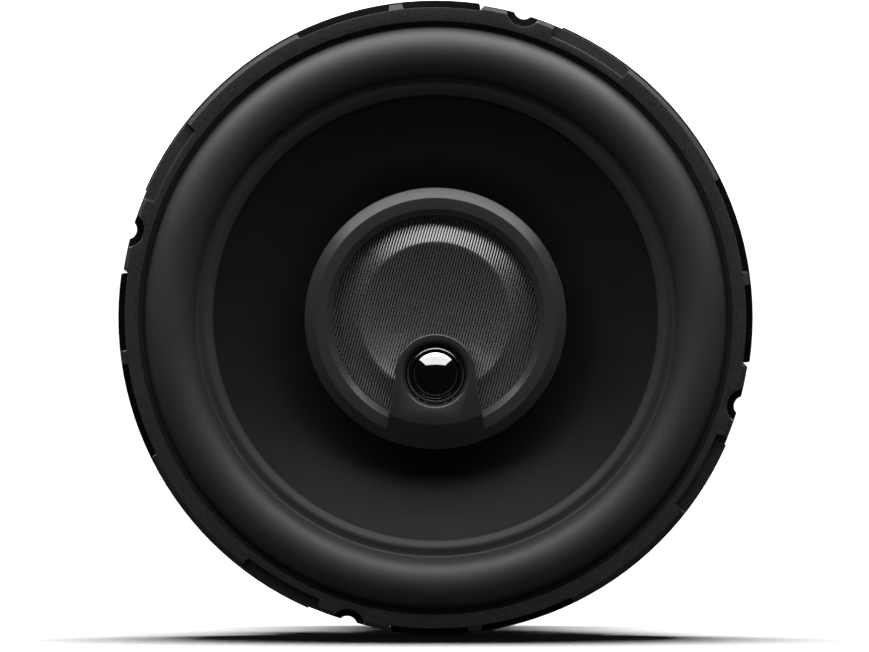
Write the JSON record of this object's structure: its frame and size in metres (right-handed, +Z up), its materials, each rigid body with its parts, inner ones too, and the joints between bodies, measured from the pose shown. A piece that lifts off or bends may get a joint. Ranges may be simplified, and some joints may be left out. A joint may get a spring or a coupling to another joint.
{
  "type": "coaxial car speaker",
  "caption": "Round coaxial car speaker: moulded basket and flange, half-roll surround and cone, with a central pod that holds a ribbed midrange and a small dome tweeter on a bridge.",
  "frame": {"origin": "centre of the flange's rear face, on the speaker's axis", "axes": "-Y is the way the speaker faces, +Y runs back through the magnet, +Z is up with the tweeter below the centre"},
  "size_m": [0.158, 0.0703, 0.158],
  "materials": {
    "frame_plastic": "satin moulded black plastic",
    "trim_plastic": "fine-grained dark grey plastic",
    "surround_rubber": "matt black rubber",
    "cone_poly": "satin black polymer",
    "former_film": "amber film",
    "winding_copper": "enamelled copper wire",
    "spider_cloth": "resin-treated woven cloth",
    "tinsel_braid": "braided tinsel wire",
    "plated_steel": "zinc-plated steel",
    "ferrite": "ground sintered ferrite",
    "rivet_aluminium": "bright rivet heads",
    "post_aluminium": "turned aluminium",
    "pod_plastic": "satin dark grey plastic",
    "midrange_film": "finely ribbed coated film",
    "dome_film": "glossy black film",
    "edge_film": "thin black film",
    "terminal_plastic": "black glass-filled plastic",
    "blade_tin": "tin-plated brass blades",
    "capacitor_film": "yellow wound-film capacitor",
    "capacitor_sleeve": "blue shrink sleeve",
    "adhesive": "translucent hot-melt glue",
    "lead_insulation": "black insulated lead",
    "jumper_wire": "tinned copper wire"
  },
  "bodies": {
    "frame": {"basket": "frame_plastic", "trim_ring": "trim_plastic", "top_plate": "plated_steel", "magnet": "ferrite", "yoke": "plated_steel", "basket_rivets": "rivet_aluminium", "centre_post": "post_aluminium", "post_nut": "plated_steel", "post_retainer": "plated_steel", "pod_housing": "pod_plastic", "pod_bezel": "pod_plastic", "tweeter_bridge": "pod_plastic", "midrange_frame": "frame_plastic", "midrange_yoke": "plated_steel", "midrange_magnet": "rivet_aluminium", "midrange_pole": "plated_steel", "tweeter_yoke": "plated_steel", "tweeter_magnet": "rivet_aluminium", "tweeter_pole": "plated_steel", "terminal_block": "terminal_plastic", "terminal_screw": "plated_steel", "terminal_blade_positive": "blade_tin", "terminal_blade_negative": "blade_tin", "midrange_capacitor": "capacitor_film", "tweeter_capacitor": "capacitor_sleeve", "capacitor_adhesive": "adhesive", "capacitor_feed": "lead_insulation", "capacitor_jumper": "jumper_wire", "pod_lead": "lead_insulation"},
    "woofer_moving": {"woofer_cone": "cone_poly", "woofer_former": "former_film", "woofer_winding": "winding_copper", "lead_eyelets": "rivet_aluminium", "woofer_surround": "surround_rubber", "woofer_spider": "spider_cloth", "tinsel_lead_positive": "tinsel_braid", "tinsel_lead_negative": "tinsel_braid"},
    "midrange_moving": {"midrange_diaphragm": "midrange_film", "midrange_former": "former_film", "midrange_winding": "winding_copper", "midrange_edge": "midrange_film"},
    "tweeter_moving": {"tweeter_dome": "dome_film", "tweeter_former": "former_film", "tweeter_winding": "winding_copper", "tweeter_edge": "edge_film"}
  },
  "joints": [
    {"name": "woofer_excursion", "type": "slide", "parent": "frame", "child": "woofer_moving", "axis": [0, -1, 0], "range_m": [-0.005, 0.005], "stiffness_N_per_m": 1500, "deforming": ["woofer_surround", "woofer_spider", "tinsel_lead_positive", "tinsel_lead_negative"]},
    {"name": "midrange_excursion", "type": "slide", "parent": "frame", "child": "midrange_moving", "axis": [0, -1, 0], "range_m": [-0.0008, 0.0008], "stiffness_N_per_m": 3000, "deforming": ["midrange_edge"]},
    {"name": "tweeter_excursion", "type": "slide", "parent": "frame", "child": "tweeter_moving", "axis": [0, -1, 0], "range_m": [-0.00025, 0.00025], "stiffness_N_per_m": 10000, "deforming": ["tweeter_edge"]}
  ]
}
